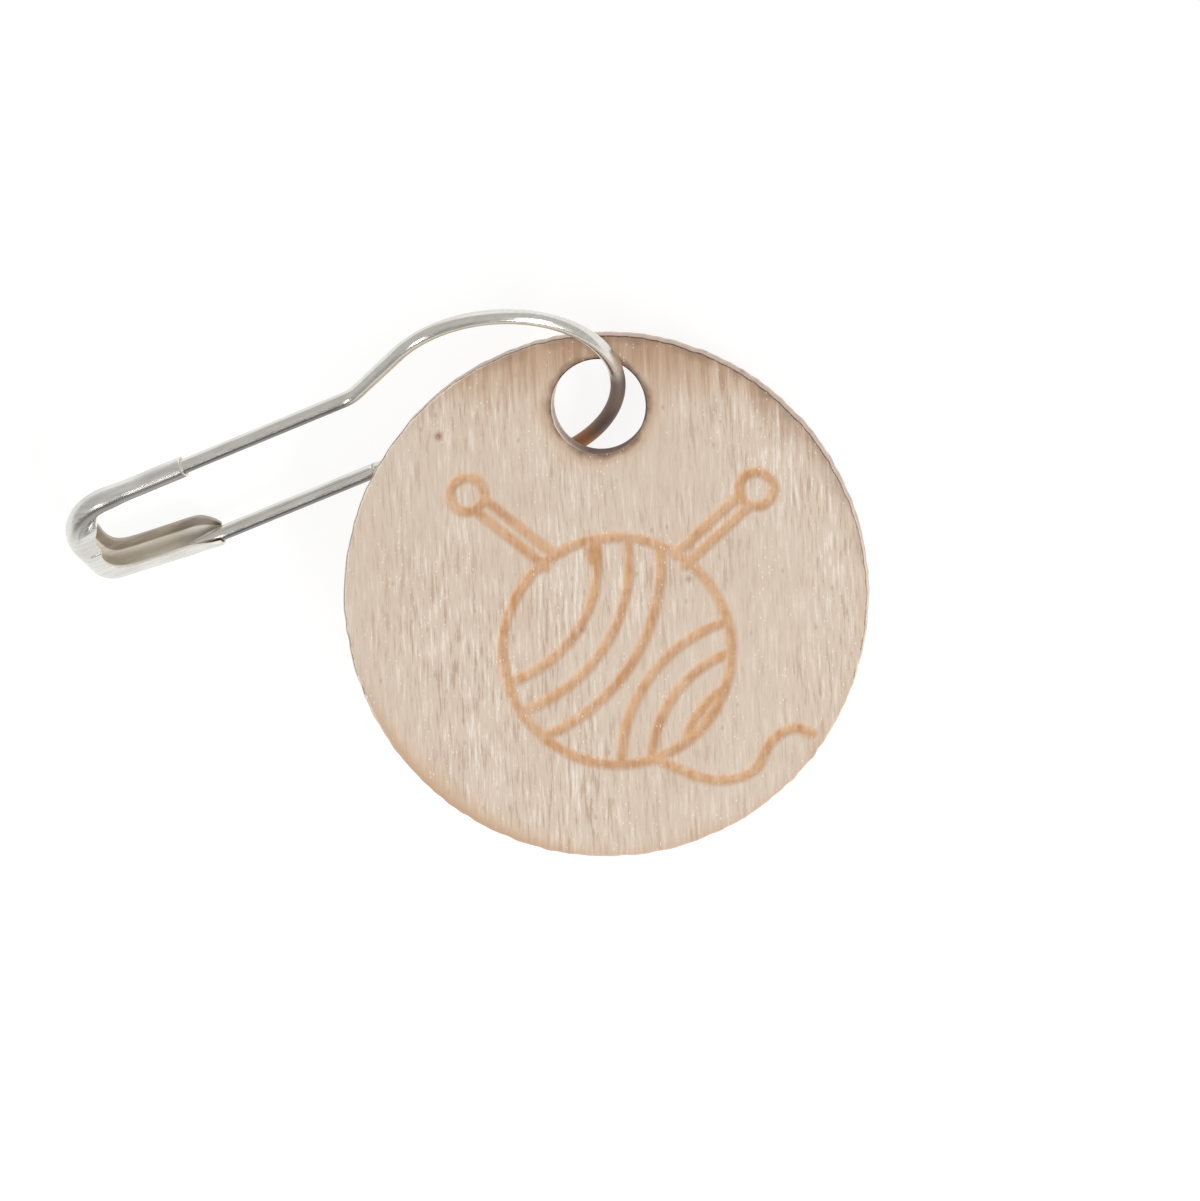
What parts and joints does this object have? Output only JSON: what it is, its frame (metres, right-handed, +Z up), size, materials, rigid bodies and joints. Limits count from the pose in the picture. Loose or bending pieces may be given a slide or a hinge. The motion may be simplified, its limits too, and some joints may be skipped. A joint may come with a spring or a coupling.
{
  "type": "stitch marker",
  "caption": "Bulb-shaped safety pin of sprung wire with a folded sheet clasp, threaded through the hole of a round wooden charm that hangs from the bulb.",
  "frame": {"origin": "centre of the bounding box on the table that the marker lies on", "axes": "+X from the clasp towards the bulb, +Z up from the table, the charm towards -Y"},
  "size_m": [0.0274, 0.021, 0.0072],
  "materials": {
    "clasp_sheet": "polished, with fine drawing streaks",
    "wire": "polished",
    "wood": "bare, fine sanded"
  },
  "bodies": {
    "pin": {"clasp": "clasp_sheet", "bulb_wire": "wire"},
    "arm": {"pin_arm": "wire"},
    "charm": {"wood_disc": "wood"}
  },
  "joints": [
    {"name": "arm_release", "type": "hinge", "parent": "pin", "child": "arm", "pos_m": [-0.00225, 0.0064, 0.00163], "axis": [0.9923, 0.1221, -0.0224], "range_deg": [0, 250]},
    {"name": "charm_swing", "type": "hinge", "parent": "pin", "child": "charm", "pos_m": [0.00667, 0.00552, 0.00214], "axis": [0.1197, -0.0621, 0.9909], "range_deg": [0, 180]}
  ]
}
